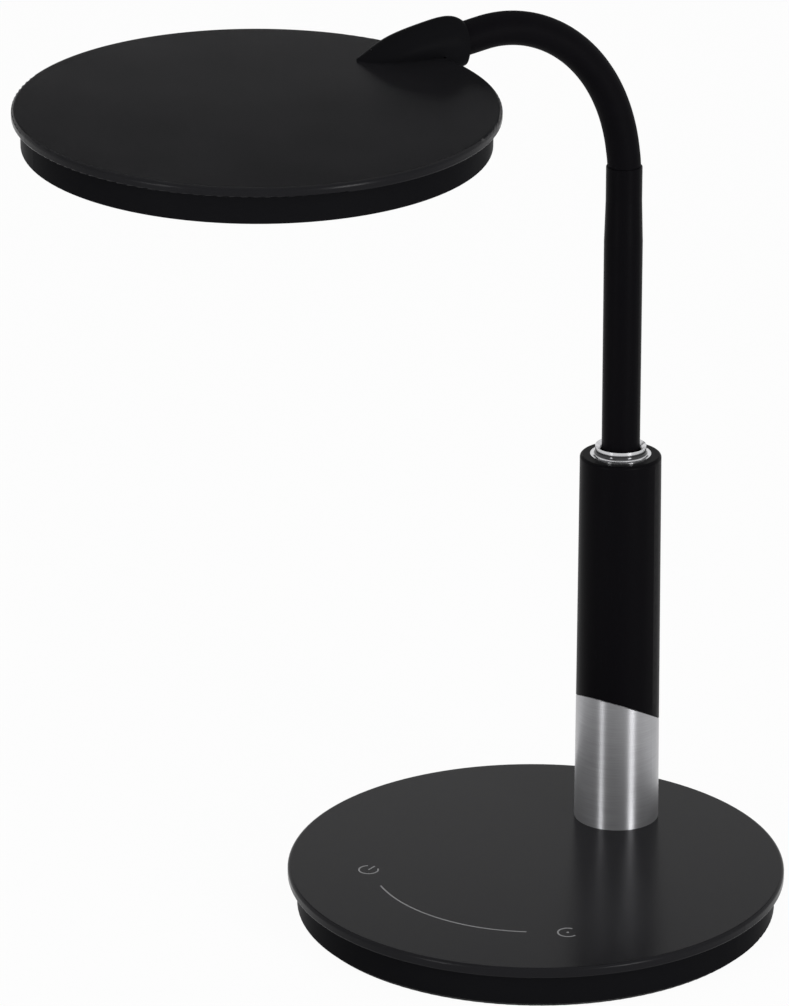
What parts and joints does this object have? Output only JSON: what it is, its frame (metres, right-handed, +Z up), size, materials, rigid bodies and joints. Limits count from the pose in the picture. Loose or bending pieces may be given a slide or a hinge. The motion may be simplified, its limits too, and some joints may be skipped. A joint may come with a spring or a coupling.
{
  "type": "gooseneck desk lamp",
  "caption": "Free-standing desk lamp: round weighted base with touch marks, off-centre post, straight swivelling stem, flexible neck and a flat round head.",
  "frame": {"origin": "centre of the non-slip pad's underside, on the table", "axes": "+Z up, -Y to the front where the touch marks are, +Y to the back where the post and the power inlet are, +X to the right seen from the front"},
  "size_m": [0.25, 0.2932, 0.3652],
  "materials": {
    "black_plastic": "satin moulded, near black",
    "black_gloss": "semi-gloss moulded, near black",
    "black_paint": "matt powder coat, near black",
    "brushed_steel": "brushed along its length",
    "bright_chrome": "polished",
    "steel": "plain zinc-plated",
    "neck_sleeve": "matt silicone over the coil",
    "pad_foam": "soft, non-slip",
    "ballast_iron": "rough cast",
    "board": "green laminate",
    "mark_print": "pale grey print",
    "copper": "thin foil",
    "component": "moulded",
    "socket_plastic": "white nylon",
    "lead_jacket": "vinyl",
    "nylon": "natural nylon",
    "head_aluminium": "plain sheet",
    "opal": "opal, satin",
    "clear_guide": "clear acrylic",
    "white_film": "white film",
    "led_body": "yellow phosphor"
  },
  "bodies": {
    "base": {"foot_pad": "pad_foam", "base_tray": "black_gloss", "ballast": "ballast_iron", "base_top": "black_plastic", "base_screws": "steel", "ballast_screws": "steel", "post_screws": "steel", "power_mark": "mark_print", "dimmer_mark": "mark_print", "tone_mark": "mark_print", "touch_pads": "copper", "touch_board": "board", "control_board": "board", "board_spacers": "nylon", "board_parts": "component", "wire_sockets": "socket_plastic", "power_jack": "component", "jack_lead": "lead_jacket", "lamp_lead": "lead_jacket", "touch_lead": "lead_jacket", "post_foot": "head_aluminium", "post_tube": "steel", "steel_sleeve": "brushed_steel", "black_sleeve": "black_paint", "top_plug": "head_aluminium", "chrome_collar": "bright_chrome", "collar_nut": "steel", "swivel_bush": "nylon"},
    "stem": {"stem_sleeve": "black_paint", "stem_tube": "steel", "stem_clip": "steel", "stem_lead": "lead_jacket"},
    "link_1": {"neck_link_1": "neck_sleeve"},
    "link_2": {"neck_link_2": "neck_sleeve"},
    "link_3": {"neck_link_3": "neck_sleeve"},
    "link_4": {"neck_link_4": "neck_sleeve"},
    "link_5": {"neck_link_5": "neck_sleeve"},
    "link_6": {"neck_link_6": "neck_sleeve"},
    "link_7": {"neck_link_7": "neck_sleeve"},
    "head": {"neck_end": "neck_sleeve", "neck_connector": "black_gloss", "head_top": "black_plastic", "head_drum": "black_gloss", "diffuser": "opal", "light_guide": "clear_guide", "led_strip": "board", "leds": "led_body", "reflector": "white_film", "back_plate": "head_aluminium", "head_screws": "steel", "connector_screws": "steel", "head_lead": "lead_jacket", "head_socket": "socket_plastic"}
  },
  "joints": [
    {"name": "neck_swivel", "type": "hinge", "parent": "base", "child": "stem", "pos_m": [0, 0.0587, 0.176], "axis": [0, 0, 1], "range_deg": [-120, 120]},
    {"name": "neck_bend_1", "type": "hinge", "parent": "stem", "child": "link_1", "pos_m": [0, 0.0587, 0.2978], "axis": [0.8517, -0.524, 0], "range_deg": [-22, 10]},
    {"name": "neck_lean_1", "type": "hinge", "parent": "link_1", "child": "link_2", "pos_m": [-0.00092, 0.05721, 0.31058], "axis": [0.5118, 0.8319, 0.2143], "range_deg": [-14, 14]},
    {"name": "neck_bend_2", "type": "hinge", "parent": "link_2", "child": "link_3", "pos_m": [-0.00289, 0.05401, 0.32292], "axis": [0.8517, -0.524, 0], "range_deg": [-22, 10]},
    {"name": "neck_lean_2", "type": "hinge", "parent": "link_3", "child": "link_4", "pos_m": [-0.00601, 0.04893, 0.33435], "axis": [0.4368, 0.71, 0.5524], "range_deg": [-14, 14]},
    {"name": "neck_bend_3", "type": "hinge", "parent": "link_4", "child": "link_5", "pos_m": [-0.01031, 0.04194, 0.3443], "axis": [0.8517, -0.524, 0], "range_deg": [-22, 10]},
    {"name": "neck_lean_3", "type": "hinge", "parent": "link_5", "child": "link_6", "pos_m": [-0.0157, 0.03317, 0.35208], "axis": [0.2598, 0.4223, 0.8685], "range_deg": [-14, 14]},
    {"name": "neck_bend_4", "type": "hinge", "parent": "link_6", "child": "link_7", "pos_m": [-0.02195, 0.02301, 0.35698], "axis": [0.8517, -0.524, 0], "range_deg": [-22, 10]},
    {"name": "neck_lean_4", "type": "hinge", "parent": "link_7", "child": "head", "pos_m": [-0.02867, 0.01209, 0.35837], "axis": [-0.0239, -0.0388, 0.999], "range_deg": [-14, 14]}
  ],
  "couplings": [
    {"joint": "neck_bend_2", "follows": "neck_bend_1", "ratio": 1},
    {"joint": "neck_lean_2", "follows": "neck_lean_1", "ratio": 1},
    {"joint": "neck_bend_3", "follows": "neck_bend_1", "ratio": 1},
    {"joint": "neck_lean_3", "follows": "neck_lean_1", "ratio": 1},
    {"joint": "neck_bend_4", "follows": "neck_bend_1", "ratio": 1},
    {"joint": "neck_lean_4", "follows": "neck_lean_1", "ratio": 1}
  ]
}
